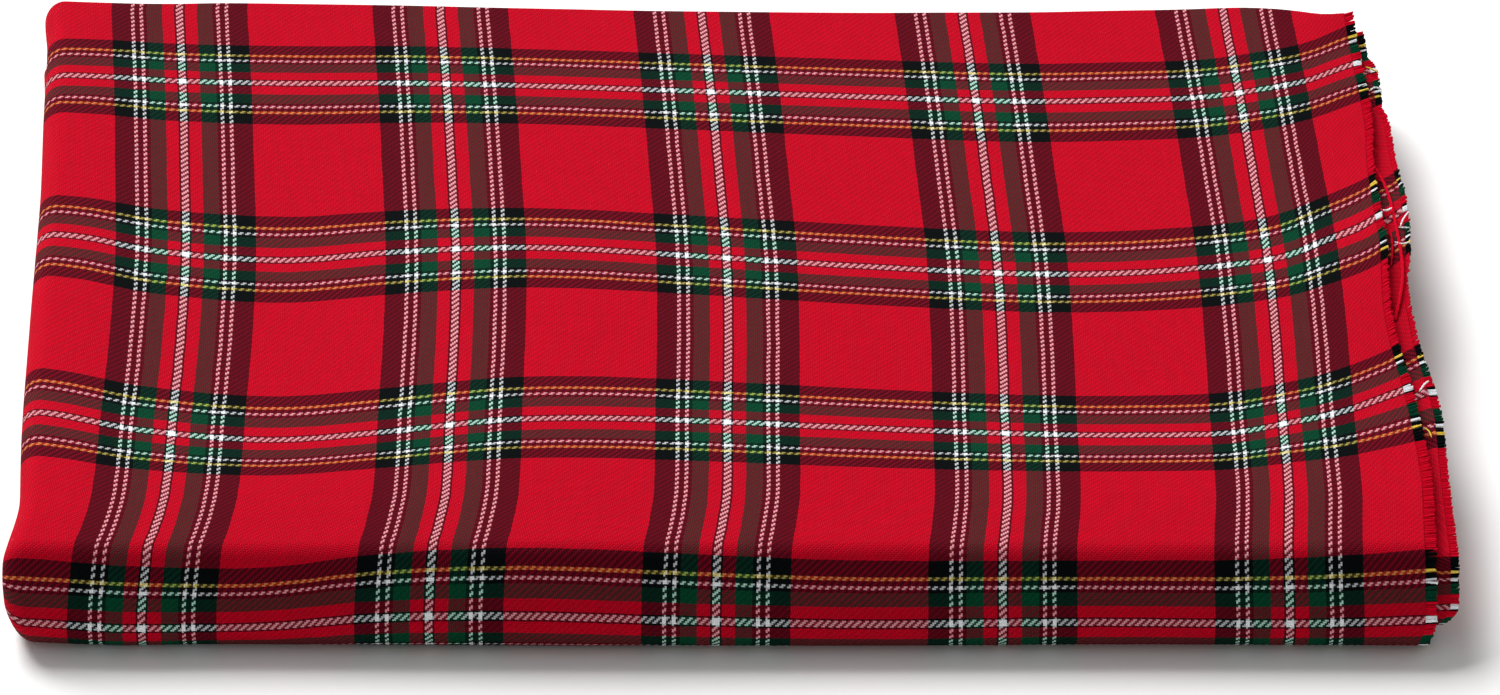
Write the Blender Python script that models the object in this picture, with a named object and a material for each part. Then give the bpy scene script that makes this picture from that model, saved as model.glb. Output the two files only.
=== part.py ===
"""Checked twill cloth, one cut length folded in four across its width and once along its length.

The cloth is a single sheet. Its layers lie a little apart, outer raw edge on top. Both raw edges
are at the right, the folds across the width are at the left, and the fold along the length is at
the front. +X is the longest side, +Z is up, and the pack rests on the underside of its outer layer.
"""

import math
from collections import namedtuple

import bpy

MM = 0.001

# The sheet and how its layers are stacked
SHEET_THICKNESS = 1.4 * MM
LAYERS_IN_BUNDLE = 4
PACK_HEIGHT = 28.5 * MM
LAYER_PITCH = (PACK_HEIGHT - SHEET_THICKNESS) / (2 * LAYERS_IN_BUNDLE - 1)
BUNDLE_DEPTH = (LAYERS_IN_BUNDLE - 1) * LAYER_PITCH
BOTTOM_LAYER_HEIGHT = SHEET_THICKNESS / 2
TOP_LAYER_HEIGHT = PACK_HEIGHT - SHEET_THICKNESS / 2

# Outline of the pack, seen from above: places at y = 0 and how far they lean for each metre of y
LEFT_FOLD_X = -197.0 * MM
LEFT_LEAN = -0.042
RIGHT_EDGE_X = 178.8 * MM
RIGHT_LEAN = -0.026
BACK_Y = 164.6 * MM
BACK_LEAN = -0.020
FRONT_BEND_Y = -84.0 * MM

# Underside, drawn in a little between its four corners and standing a hair clear between them
LOWER_LEFT_X = -197.5 * MM
LOWER_LEFT_LEAN = -0.053
LOWER_RIGHT_X = 178.0 * MM
LOWER_RIGHT_LEAN = -0.021
LOWER_BOW = 1.0 * MM
LOWER_LIFT = 0.03 * MM
LOWER_MIDDLE_X = -9 * MM
LOWER_HALF_WIDTH = 187 * MM
LOWER_MIDDLE_Y = 38 * MM
LOWER_HALF_LENGTH = 126 * MM

# How the upper folded edges and raw edges wander from their straight lines
FOLD_SWAY = 0.5 * MM
FOLD_SWAY_LENGTH = 27 * MM
RAW_WANDER = 1.1 * MM
RAW_WANDER_LENGTH = 22 * MM
RAW_WANDER_FROM = -80 * MM
RAW_STRAIGHT_Y = 130 * MM
RAW_STRAIGHT_BLEND = 90 * MM

# Folds across the width
OUTER_FOLD_REACH = 5.6 * MM
INNER_FOLD_REACH = 2.2 * MM
INNER_FOLD_INSET = 4.6 * MM
RIGHT_FOLD_OUT = 2.0 * MM

# How far the second layer's raw edge stands past the outer one
RAW_STEP_UNDER = 3.5 * MM
RAW_STEP_FRONT = 6.4 * MM
RAW_STEP_BACK = 2.6 * MM
RAW_STEP_BULGE = 1.6 * MM
RAW_STEP_Y = 60 * MM
RAW_STEP_BLEND = 100 * MM
RAW_BULGE_REACH = 45 * MM

# The fold along the length: a tight top bend, a slanting face and a bend that tucks under
TOP_BEND_RADIUS = 6.0 * MM
FACE_SLOPE = math.radians(55)
UNDER_BEND_RADIUS = 7.5 * MM
INNER_BEND_IN = 1.5 * MM
FRONT_BLEND_Y = -60 * MM
FRONT_BLEND = 35 * MM
FRONT_LEFT_OUT = 5.0 * MM
FRONT_RIGHT_OUT = 1.0 * MM
TUCK_FROM = 0.4
FRONT_WAVE = 0.5 * MM
FRONT_WAVE_LENGTH = 31 * MM
FRONT_WAVE_REACH = 30 * MM

# Below this height the layers lie flat on whatever holds the pack
FLAT_BELOW = 3 * MM

Section = namedtuple("Section", "name first_layer last_layer start end side segments")
Station = namedtuple("Station", "outer_y outer_z inner_y inner_z topness back")
Swell = namedtuple("Swell", "name x y reach_x reach_y height")
BackEnd = namedtuple("BackEnd", "layer top bottom")

# Across the width, from one raw edge to the other. Layer 3 is the outermost of the bundle.
# A run goes straight from its start edge to its end edge, and a fold turns out to its side.
ACROSS = (
    Section("outer run", 3, 3, "raw_outer", "left_outer", 0, 15),
    Section("outer left fold", 3, 0, "left_outer", "left_outer", -1, 10),
    Section("innermost run", 0, 0, "left_outer", "right_fold", 0, 7),
    Section("right fold", 0, 1, "right_fold", "right_fold", 1, 6),
    Section("third run", 1, 1, "right_fold", "left_inner", 0, 7),
    Section("inner left fold", 1, 2, "left_inner", "left_inner", -1, 6),
    Section("second run", 2, 2, "left_inner", "raw_inner", 0, 13),
)

# How far each layer's cut end stands past the pack's back edge
BACK_ENDS = (
    BackEnd(3, 0.0 * MM, -3.0 * MM),
    BackEnd(2, -1.6 * MM, -1.0 * MM),
    BackEnd(1, -3.4 * MM, -2.4 * MM),
    BackEnd(0, -2.2 * MM, -4.2 * MM),
)

# Soft rises and dips of the upper layers
SWELLS = (
    Swell("ridge left of the middle", -52 * MM, -10 * MM, 42 * MM, 95 * MM, 1.3 * MM),
    Swell("dip by the left band", -128 * MM, 0 * MM, 34 * MM, 100 * MM, -1.1 * MM),
    Swell("dip right of the middle", 88 * MM, 30 * MM, 50 * MM, 110 * MM, -1.2 * MM),
    Swell("puffed left fold", -188 * MM, 20 * MM, 16 * MM, 150 * MM, 0.9 * MM),
    Swell("lifted right edge", 180 * MM, 46 * MM, 26 * MM, 42 * MM, 3.0 * MM),
    Swell("roll behind the front bend", 150 * MM, -66 * MM, 60 * MM, 18 * MM, 0.9 * MM),
    Swell("front left roll", -120 * MM, -66 * MM, 50 * MM, 18 * MM, 0.8 * MM),
)
CORNER_CURL = Swell("back right corner", 176 * MM, 166 * MM, 11 * MM, 9 * MM, 2.4 * MM)

BACK_SEGMENTS = 12
WRAP_SEGMENTS = 15
CLOTH_RED = (0.610, 0.010, 0.026, 1.0)


def ease(share):
    """A share from 0 to 1 with a soft start and a soft end."""
    share = min(max(share, 0.0), 1.0)
    return share * share * (3.0 - 2.0 * share)


def mix(first, last, share):
    return first + (last - first) * share


def hump(swell, x, y):
    """Height of a rounded swell at a place."""
    across = (x - swell.x) / swell.reach_x
    along = (y - swell.y) / swell.reach_y
    return swell.height * math.exp(-across * across - along * along)


def outer_wrap(share):
    """(y, z) of the outermost layer, a share of the way round the front fold."""
    drop = TOP_LAYER_HEIGHT - BOTTOM_LAYER_HEIGHT
    top_drop = TOP_BEND_RADIUS * (1 - math.cos(FACE_SLOPE))
    under_drop = UNDER_BEND_RADIUS * (1 + math.cos(FACE_SLOPE))
    face = (drop - top_drop - under_drop) / math.sin(FACE_SLOPE)
    top_arc = TOP_BEND_RADIUS * FACE_SLOPE
    under_arc = UNDER_BEND_RADIUS * (math.pi - FACE_SLOPE)
    gone = share * (top_arc + face + under_arc)
    turn = min(gone / TOP_BEND_RADIUS, FACE_SLOPE)
    y = FRONT_BEND_Y - TOP_BEND_RADIUS * math.sin(turn)
    z = TOP_LAYER_HEIGHT - TOP_BEND_RADIUS * (1 - math.cos(turn))
    slid = min(max(gone - top_arc, 0.0), face)
    y -= slid * math.cos(FACE_SLOPE)
    z -= slid * math.sin(FACE_SLOPE)
    under = max(gone - top_arc - face, 0.0) / UNDER_BEND_RADIUS
    y -= UNDER_BEND_RADIUS * (math.sin(FACE_SLOPE + under) - math.sin(FACE_SLOPE))
    z -= UNDER_BEND_RADIUS * (math.cos(FACE_SLOPE) - math.cos(FACE_SLOPE + under))
    return y, z


def inner_wrap(share):
    """(y, z) of the innermost layer, a share of the way round the front fold."""
    turn = math.pi * share
    radius = LAYER_PITCH / 2
    y = FRONT_BEND_Y + INNER_BEND_IN - radius * math.sin(turn)
    z = PACK_HEIGHT / 2 + radius * math.cos(turn)
    return y, z


def stations():
    """Places along the length, from the top's back end round the front to the bottom's."""
    found = []
    top_inner = TOP_LAYER_HEIGHT - BUNDLE_DEPTH
    bottom_inner = BOTTOM_LAYER_HEIGHT + BUNDLE_DEPTH
    for step in range(BACK_SEGMENTS):
        back = 1.0 - step / BACK_SEGMENTS
        outer_y = mix(FRONT_BEND_Y, BACK_Y, back)
        inner_y = mix(FRONT_BEND_Y + INNER_BEND_IN, BACK_Y, back)
        found.append(Station(outer_y, TOP_LAYER_HEIGHT, inner_y, top_inner, 1.0, back))
    for step in range(WRAP_SEGMENTS + 1):
        share = step / WRAP_SEGMENTS
        found.append(Station(*outer_wrap(share), *inner_wrap(share), 1.0 - ease(share), 0.0))
    under_y = outer_wrap(1.0)[0]
    for step in range(1, BACK_SEGMENTS + 1):
        back = step / BACK_SEGMENTS
        outer_y = mix(under_y, BACK_Y, back)
        inner_y = mix(FRONT_BEND_Y + INNER_BEND_IN, BACK_Y, back)
        found.append(Station(outer_y, BOTTOM_LAYER_HEIGHT, inner_y, bottom_inner, 0.0, back))
    return found


def arch(place, middle, half):
    """A share that is 1 in the middle of a side of the underside and nothing at its corners."""
    share = (place - middle) / half
    return 1.0 - share * share


def edges_at(y, topness, outwards):
    """X of the folds and raw edges where they cross a place along the length."""
    front = ease((FRONT_BLEND_Y - y) / FRONT_BLEND)
    upper = ease(topness / TUCK_FROM)
    lower = (1.0 - upper) * outwards
    bow = LOWER_BOW * arch(y, LOWER_MIDDLE_Y, LOWER_HALF_LENGTH)
    sway = FOLD_SWAY * math.sin(y / FOLD_SWAY_LENGTH)
    settled = ease((RAW_STRAIGHT_Y - y) / RAW_STRAIGHT_BLEND)
    wander = RAW_WANDER * math.sin((y - RAW_WANDER_FROM) / RAW_WANDER_LENGTH) * settled

    left_above = LEFT_FOLD_X + LEFT_LEAN * y + sway - front * FRONT_LEFT_OUT
    left_below = LOWER_LEFT_X + LOWER_LEFT_LEAN * y + bow
    left = mix(left_above, left_below, lower)

    right_above = RIGHT_EDGE_X + RIGHT_LEAN * y + front * FRONT_RIGHT_OUT
    right_below = LOWER_RIGHT_X + LOWER_RIGHT_LEAN * y - bow
    right = mix(right_above, right_below, lower)
    bulge = math.exp(-(((y - RAW_STEP_Y) / RAW_BULGE_REACH) ** 2))
    step = mix(RAW_STEP_FRONT, RAW_STEP_BACK, ease((y - RAW_STEP_Y) / RAW_STEP_BLEND))
    step = mix(RAW_STEP_UNDER, step + RAW_STEP_BULGE * bulge, upper)
    return {
        "raw_outer": right + wander * upper,
        "left_outer": left,
        "right_fold": right + RIGHT_FOLD_OUT + sway,
        "left_inner": left + INNER_FOLD_INSET,
        "raw_inner": right + 0.5 * wander + step,
    }


def turning_x(edges, edge):
    """X where a run gives way to its fold. A raw edge has none."""
    if edge == "left_outer":
        return edges[edge] + OUTER_FOLD_REACH
    if edge == "left_inner":
        return edges[edge] + INNER_FOLD_REACH
    if edge == "right_fold":
        return edges[edge] - INNER_FOLD_REACH
    return edges[edge]


def layer_at(section, share):
    """The layer a share of the way along a section. Between two whole numbers it is a fold."""
    turned = (1 - math.cos(math.pi * share)) / 2
    return mix(section.first_layer, section.last_layer, turned)


def place_across(section, share, edges):
    """X a share of the way along a section."""
    start = turning_x(edges, section.start)
    if section.side == 0:
        return mix(start, turning_x(edges, section.end), share)
    reach = abs(edges[section.start] - start)
    return start + section.side * reach * math.sin(math.pi * share)


def back_end(layer, topness):
    """How far the cut end of a layer, or of the fold between two layers, stands out."""
    for upper, lower in zip(BACK_ENDS, BACK_ENDS[1:]):
        if layer >= lower.layer:
            share = (upper.layer - layer) / (upper.layer - lower.layer)
            top = mix(upper.top, lower.top, share)
            return mix(mix(upper.bottom, lower.bottom, share), top, topness)
    return 0.0


def place(section, share, station):
    """The sheet's middle surface at a place across and along the cloth."""
    layer = layer_at(section, share)
    outwards = layer / (LAYERS_IN_BUNDLE - 1)
    x = place_across(section, share, edges_at(station.outer_y, station.topness, outwards))
    y = mix(station.inner_y, station.outer_y, outwards)
    z = mix(station.inner_z, station.outer_z, outwards)
    y += station.back * (back_end(layer, station.topness) + BACK_LEAN * x)
    under = 1.0 - station.topness
    arch_across = arch(x, LOWER_MIDDLE_X, LOWER_HALF_WIDTH)
    arch_along = arch(y, LOWER_MIDDLE_Y, LOWER_HALF_LENGTH)
    z += under * LOWER_LIFT * max(arch_across + arch_along, 0.0)
    y += under * LOWER_BOW * arch_across * (1.0 - 2.0 * station.back)
    front = 1.0 - ease((y - FRONT_BEND_Y + FRONT_WAVE_REACH) / (2 * FRONT_WAVE_REACH))
    y += front * outwards * station.topness * FRONT_WAVE * math.sin(x / FRONT_WAVE_LENGTH)
    lifted = ease((z - FLAT_BELOW) / (PACK_HEIGHT - FLAT_BELOW))
    rise = sum(hump(swell, x, y) for swell in SWELLS)
    if layer > 2:
        rise += (layer - 2) * hump(CORNER_CURL, x, y)
    return x, y, z + lifted * rise


def cloth_grid():
    """Rows of points, one row for each place across the width."""
    rows = []
    along = stations()
    for section in ACROSS:
        for step in range(section.segments):
            share = step / section.segments
            rows.append([place(section, share, station) for station in along])
    rows.append([place(ACROSS[-1], 1.0, station) for station in along])
    return rows


def centred(rows):
    """The same points with the middle of the pack's outline over the origin.

    The left and the front are folds, where the sheet's surface stands half a thickness out.
    """
    xs = [point[0] for row in rows for point in row]
    ys = [point[1] for row in rows for point in row]
    middle_x = (min(xs) - SHEET_THICKNESS / 2 + max(xs)) / 2
    middle_y = (min(ys) - SHEET_THICKNESS / 2 + max(ys)) / 2
    return [[(x - middle_x, y - middle_y, z) for x, y, z in row] for row in rows]


def cloth_material():
    """Wool-like red twill, matt."""
    material = bpy.data.materials.new("red_checked_twill")
    material.use_nodes = True
    shader = material.node_tree.nodes["Principled BSDF"]
    shader.inputs["Base Color"].default_value = CLOTH_RED
    shader.inputs["Roughness"].default_value = 0.85
    shader.inputs["Metallic"].default_value = 0.0
    return material


def folded_cloth():
    """The whole cloth as one sheet with its real thickness."""
    rows = centred(cloth_grid())
    length = len(rows[0])
    points = [point for row in rows for point in row]
    faces = []
    for across in range(len(rows) - 1):
        for along in range(length - 1):
            corner = across * length + along
            faces.append((corner, corner + length, corner + length + 1, corner + 1))
    mesh = bpy.data.meshes.new("folded_cloth")
    mesh.from_pydata(points, [], faces)
    mesh.materials.append(cloth_material())
    mesh.shade_smooth()
    cloth = bpy.data.objects.new("folded_cloth", mesh)
    bpy.context.scene.collection.objects.link(cloth)
    sheet = cloth.modifiers.new("sheet thickness", "SOLIDIFY")
    sheet.thickness = SHEET_THICKNESS
    sheet.offset = 0.0
    sheet.use_even_offset = True
    return cloth


def main():
    for old in list(bpy.data.objects):
        bpy.data.objects.remove(old)
    folded_cloth()


main()
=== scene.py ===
"""A cut length of checked twill cloth, folded into a flat pack, dressed for the render.

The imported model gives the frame. The cloth is one thin sheet on its solid's folds, woven in a
traditional check, and the yarn ends of its two fringed selvedges are laid by Geometry Nodes.
"""

import bisect
import logging
import math
from dataclasses import dataclass, field
from enum import Enum

import bpy
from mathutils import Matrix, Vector


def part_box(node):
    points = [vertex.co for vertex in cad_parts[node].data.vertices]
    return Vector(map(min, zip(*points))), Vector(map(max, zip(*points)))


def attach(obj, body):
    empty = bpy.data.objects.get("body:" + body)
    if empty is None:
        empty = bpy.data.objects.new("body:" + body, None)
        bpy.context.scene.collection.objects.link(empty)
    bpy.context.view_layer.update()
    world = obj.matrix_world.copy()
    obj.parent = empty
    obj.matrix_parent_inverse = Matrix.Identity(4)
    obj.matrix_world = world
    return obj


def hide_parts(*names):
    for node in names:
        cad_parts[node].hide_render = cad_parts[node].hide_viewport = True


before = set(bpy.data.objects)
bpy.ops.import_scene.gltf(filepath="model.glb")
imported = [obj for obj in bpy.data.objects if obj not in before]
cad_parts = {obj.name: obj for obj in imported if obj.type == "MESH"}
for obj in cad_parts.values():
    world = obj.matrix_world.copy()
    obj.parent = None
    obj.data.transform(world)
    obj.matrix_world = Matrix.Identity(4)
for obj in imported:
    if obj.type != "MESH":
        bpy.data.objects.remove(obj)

MM = 0.001
CAD_NODE = "folded_cloth"
CAD_LOW, CAD_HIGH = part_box(CAD_NODE)
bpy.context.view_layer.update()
LOG = logging.getLogger("folded check cloth")

Point = tuple[float, float, float]


def ease(share: float) -> float:
    """A share from 0 to 1 with a soft start and a soft end."""
    share = min(max(share, 0.0), 1.0)
    return share * share * (3.0 - 2.0 * share)


def mix(first: float, last: float, share: float) -> float:
    """The value a share of the way from first to last."""
    return first + (last - first) * share


def smooth(places: list[float], columns: list[tuple[float, ...]], place: float) -> list[float]:
    """Read a table smoothly between its rows, and hold its end rows beyond them.

    Args:
        places: where the rows stand, rising.
        columns: the values of each row.
        place: where to read.

    Returns:
        One value for each column.
    """
    place = min(max(place, places[0]), places[-1])
    cell = min(max(bisect.bisect_right(places, place) - 1, 0), len(places) - 2)
    before = max(cell - 1, 0)
    after = min(cell + 2, len(places) - 1)
    width = places[cell + 1] - places[cell]
    share = (place - places[cell]) / width
    start_pull = share * (1 - share) ** 2 * width
    end_pull = share * share * (share - 1) * width
    found = []
    for column, (low, high) in enumerate(zip(columns[cell], columns[cell + 1])):
        slope_low = (high - columns[before][column]) / (places[cell + 1] - places[before])
        slope_high = (columns[after][column] - low) / (places[after] - places[cell])
        found.append(mix(low, high, ease(share)) + start_pull * slope_low + end_pull * slope_high)
    return found


def linear(hex_colour: str) -> tuple[float, float, float, float]:
    """Turn an sRGB hex colour into the linear values that a shader takes.

    Args:
        hex_colour: six hex digits, with or without a leading #.

    Returns:
        Red, green, blue and alpha, linear.
    """
    digits = hex_colour.lstrip("#")
    values = []
    for start in (0, 2, 4):
        channel = int(digits[start:start + 2], 16) / 255
        values.append(channel / 12.92 if channel <= 0.04045 else ((channel + 0.055) / 1.055) ** 2.4)
    return values[0], values[1], values[2], 1.0


class Yarn(Enum):
    """The dyed worsted yarns of the check, as sRGB hex."""

    RED = "#DB0F3D"
    GREEN = "#0D5E45"
    BLACK = "#10181A"
    WHITE = "#F2F4F6"
    YELLOW = "#F2DB74"


class Edge(Enum):
    """The folds and raw edges that run along the cloth's length."""

    RAW_OUTER = "outer raw edge"
    LEFT_OUTER = "outer left fold"
    RIGHT_FOLD = "right fold"
    LEFT_INNER = "inner left fold"
    RAW_INNER = "inner raw edge"


class Side(Enum):
    """Which way a stretch across the cloth turns."""

    FLAT = 0
    LEFT = -1
    RIGHT = 1


@dataclass(frozen=True)
class Sett:
    """Half a repeat of the check, from the middle of its white line to the middle of its ground."""

    stripes: tuple[tuple[Yarn, int], ...]

    @property
    def half(self) -> int:
        """Yarns in half a repeat."""
        return sum(count for _, count in self.stripes)

    def stops(self) -> list[tuple[float, Yarn]]:
        """Where each stripe starts, as a share of the half repeat, with its yarn."""
        found = []
        passed = 0
        for yarn, count in self.stripes:
            found.append((passed / self.half, yarn))
            passed += count
        return found


WARP_SETT = Sett((
    (Yarn.WHITE, 2), (Yarn.BLACK, 1), (Yarn.RED, 7), (Yarn.GREEN, 9), (Yarn.BLACK, 2),
    (Yarn.WHITE, 2), (Yarn.BLACK, 3), (Yarn.WHITE, 2), (Yarn.BLACK, 11), (Yarn.RED, 36),
))
WEFT_SETT = Sett((
    (Yarn.WHITE, 2), (Yarn.BLACK, 1), (Yarn.RED, 7), (Yarn.GREEN, 8), (Yarn.BLACK, 2),
    (Yarn.WHITE, 2), (Yarn.BLACK, 3), (Yarn.YELLOW, 2), (Yarn.BLACK, 9), (Yarn.RED, 39),
))


class Shader:
    """A material's node tree with one way to add a node."""

    def __init__(self, name: str) -> None:
        """Start a material with a Principled shader.

        Args:
            name: the material's name.
        """
        self.material = bpy.data.materials.new(name)
        self.material.use_nodes = True
        self.tree = self.material.node_tree
        self.surface = self.tree.nodes["Principled BSDF"]

    def add(self, kind: str, settings: dict | None = None, inputs: dict | None = None,
            output: int | str = 0) -> bpy.types.NodeSocket:
        """Add a node with its settings and links.

        Args:
            kind: the node's type, without the ShaderNode prefix.
            settings: the node's own properties.
            inputs: a value or another node's output for each input, by name or number.
            output: which output to give back.

        Returns:
            The chosen output socket.
        """
        node = self.tree.nodes.new("ShaderNode" + kind)
        for name, value in (settings or {}).items():
            setattr(node, name, value)
        for key, value in (inputs or {}).items():
            if isinstance(value, bpy.types.NodeSocket):
                self.tree.links.new(value, node.inputs[key])
            else:
                node.inputs[key].default_value = value
        return node.outputs[output]

    def math(self, operation: str, *values: float | bpy.types.NodeSocket) -> bpy.types.NodeSocket:
        """Add a Math node.

        Args:
            operation: Blender's name of the operation.
            *values: its inputs in order.

        Returns:
            The result's socket.
        """
        return self.add("Math", {"operation": operation}, dict(enumerate(values)))

    def link(self, output: bpy.types.NodeSocket, name: str) -> None:
        """Link a socket to the Principled shader's input of that name."""
        self.tree.links.new(output, self.surface.inputs[name])

    def yarn_colour(self, number: bpy.types.NodeSocket, sett: Sett) -> bpy.types.NodeSocket:
        """Colour of a yarn from its whole number, counted from the middle of a white line.

        Args:
            number: the yarn's number.
            sett: the order of the stripes.

        Returns:
            A colour socket.
        """
        middle = self.math("ADD", number, 0.5)
        place = self.math("PINGPONG", middle, float(sett.half))
        share = self.math("DIVIDE", place, float(sett.half))
        colour = self.add("ValToRGB", None, {0: share})
        ramp = colour.node.color_ramp
        ramp.interpolation = "CONSTANT"
        stops = sett.stops()
        ramp.elements[0].color = linear(stops[0][1].value)
        ramp.elements[1].position = stops[1][0]
        ramp.elements[1].color = linear(stops[1][1].value)
        for position, yarn in stops[2:]:
            ramp.elements.new(position).color = linear(yarn.value)
        return colour


@dataclass(frozen=True)
class TwillFinish:
    """Worsted 2/2 twill, piece-finished: matt, close, with fine diagonal ribs and a little bloom.

    Each yarn floats over two and under two, and every row steps on by one, which draws the rib.
    The yarns are about half a millimetre, and they are drawn at that true pitch.
    """

    name: str = "worsted_twill_check"
    roughness: float = 0.82
    sheen: float = 0.06
    sheen_roughness: float = 0.5
    under_tint: float = 0.66
    dark_hue: float = 0.21
    kept_light: float = 0.58
    # Painted shade on a dark yarn that lies between paler ones.
    squeeze_shade: float = 0.9
    bloom: float = 0.75
    # Painted shade in the grooves between yarns.
    groove_shade: float = 0.55
    # Painted shade on the weft floats, which draws the twill rib in colour.
    weft_shade: float = 0.80
    yarn_height: float = 0.16 * MM
    waver: float = 0.35
    waver_size: float = 6.0 * MM
    uneven_dye: float = 0.10
    slub_length: float = 24.0

    def build(self) -> bpy.types.Material:
        """Make the cloth's material.

        Returns:
            The material, which reads the cloth's own map, counted in yarns.
        """
        shader = Shader(self.name)
        across, along = self._yarn_places(shader)
        warp = shader.math("FLOOR", across)
        weft = shader.math("FLOOR", along)
        step = shader.math("FLOORED_MODULO", shader.math("ADD", warp, weft), 4.0)
        warp_on_top = shader.math("LESS_THAN", step, 1.5)
        warp_colour = shader.yarn_colour(warp, WARP_SETT)
        weft_colour = shader.yarn_colour(weft, WEFT_SETT)
        height = self._yarn_relief(shader, across, along, warp, weft, warp_on_top)
        colour = self._shaded(shader, warp_colour, weft_colour, warp_on_top, height)
        dyed = self._dye(shader, colour, warp, weft, across, along)
        shader.link(dyed, "Base Color")
        shader.link(dyed, "Sheen Tint")
        bump = shader.add("Bump", None, {"Height": height, "Distance": self.yarn_height,
                                         "Strength": 0.8})
        shader.link(bump, "Normal")
        shader.surface.inputs["Roughness"].default_value = self.roughness
        shader.surface.inputs["Sheen Weight"].default_value = self.sheen
        shader.surface.inputs["Sheen Roughness"].default_value = self.sheen_roughness
        shader.surface.inputs["Specular IOR Level"].default_value = 0.03
        return shader.material

    def _yarn_places(self, shader: Shader) -> tuple[bpy.types.NodeSocket, bpy.types.NodeSocket]:
        """Places across and along in yarns, wavering a little as yarns do.

        Args:
            shader: the material being made.

        Returns:
            The two sockets, warp count and weft count.
        """
        woven = shader.add("UVMap", {"uv_map": "yarns"})
        place = shader.add("TexCoord", None, None, "Object")
        scaled = {"Vector": place, "Scale": 1.0 / self.waver_size, "Detail": 1.0}
        noise = shader.add("TexNoise", None, scaled, "Color")
        offset = shader.add("VectorMath", {"operation": "SUBTRACT"}, {0: noise, 1: (0.5, 0.5, 0.5)})
        small = shader.add("VectorMath", {"operation": "SCALE"},
                           {0: offset, "Scale": 2.0 * self.waver})
        moved = shader.add("VectorMath", {"operation": "ADD"}, {0: woven, 1: small})
        parts = shader.add("SeparateXYZ", None, {0: moved})
        return parts, parts.node.outputs[1]

    def _yarn_relief(self, shader: Shader, across, along, warp, weft, warp_on_top):
        """Height of the yarn on top: round across, and bowed along its float.

        Args:
            shader: the material being made.
            across: place across, in yarns.
            along: place along, in yarns.
            warp: the warp yarn's number.
            weft: the weft yarn's number.
            warp_on_top: 1 where the warp floats.

        Returns:
            A height from 0 to 1.
        """
        def rounded(place):
            """Height across one yarn, 1 on its middle line."""
            centre = shader.math("SUBTRACT", shader.math("FRACT", place), 0.5)
            square = shader.math("MULTIPLY", centre, centre)
            return shader.math("MULTIPLY_ADD", square, -4.0, 1.0)

        def bowed(first, second, middle):
            """Height along one float, 1 in its middle."""
            place = shader.math("FLOORED_MODULO", shader.math("ADD", first, second), 4.0)
            centre = shader.math("SUBTRACT", place, middle)
            square = shader.math("MULTIPLY", centre, centre)
            return shader.math("SUBTRACT", 1.0, square)

        warp_height = shader.math("MULTIPLY", rounded(across), bowed(warp, along, 1.0))
        weft_height = shader.math("MULTIPLY", rounded(along), bowed(weft, across, 3.0))
        return shader.add("Mix", {"data_type": "FLOAT"},
                          {0: warp_on_top, 2: weft_height, 3: warp_height})

    def _over(self, shader: Shader, upper, lower):
        """Colour of one yarn with the other showing through it.

        A pale yarn takes the other's hue and keeps most of its own light. A dark yarn squeezed
        between pale ones lies low, in their shade, which is painted into its colour.

        Args:
            shader: the material being made.
            upper: colour of the yarn on top.
            lower: colour of the yarn below.

        Returns:
            A colour socket.
        """
        def strongest(colour: bpy.types.NodeSocket) -> bpy.types.NodeSocket:
            """The brightest of a colour's three channels."""
            parts = shader.add("SeparateXYZ", None, {0: colour})
            first_two = shader.math("MAXIMUM", parts, parts.node.outputs[1])
            return shader.math("MAXIMUM", first_two, parts.node.outputs[2])

        vivid = shader.math("DIVIDE", 1.0, shader.math("ADD", strongest(lower), self.dark_hue))
        hue = shader.add("VectorMath", {"operation": "SCALE"}, {0: lower, "Scale": vivid})
        tint = shader.add("Mix", {"data_type": "RGBA"},
                          {0: self.under_tint, 6: (1, 1, 1, 1), 7: hue}, 2)
        most = strongest(tint)
        upper_light = shader.add("RGBToBW", None, {0: upper})
        lower_light = shader.add("RGBToBW", None, {0: lower})
        regained = shader.math("POWER", most, self.kept_light)
        kept = shader.add("Mix", {"data_type": "FLOAT"}, {0: upper_light, 2: 1.0, 3: regained})
        # Painted shade: the upper yarn is darker by how much paler the yarn below it is.
        paler = shader.math("MAXIMUM", shader.math("SUBTRACT", lower_light, upper_light), 0.0)
        shade = shader.math("MULTIPLY_ADD", paler, -self.squeeze_shade, 1.0)
        tinted = shader.add("VectorMath", {"operation": "MULTIPLY"}, {0: upper, 1: tint})
        return shader.add("VectorMath", {"operation": "SCALE"},
                          {0: tinted, "Scale": shader.math("DIVIDE", shade, kept)})

    def _shaded(self, shader: Shader, warp_colour, weft_colour, warp_on_top, height):
        """The top yarn's colour, tinted by the yarn below it, with painted shade in its grooves.

        Pale fibres pass light on among themselves, so pale yarns take less painted shade.

        Args:
            shader: the material being made.
            warp_colour: colour of the warp yarn here.
            weft_colour: colour of the weft yarn here.
            warp_on_top: 1 where the warp floats.
            height: the top yarn's relief.

        Returns:
            A colour socket.
        """
        def blend(share, first, second):
            """Mix two colours."""
            return shader.add("Mix", {"data_type": "RGBA"}, {0: share, 6: first, 7: second}, 2)

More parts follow.
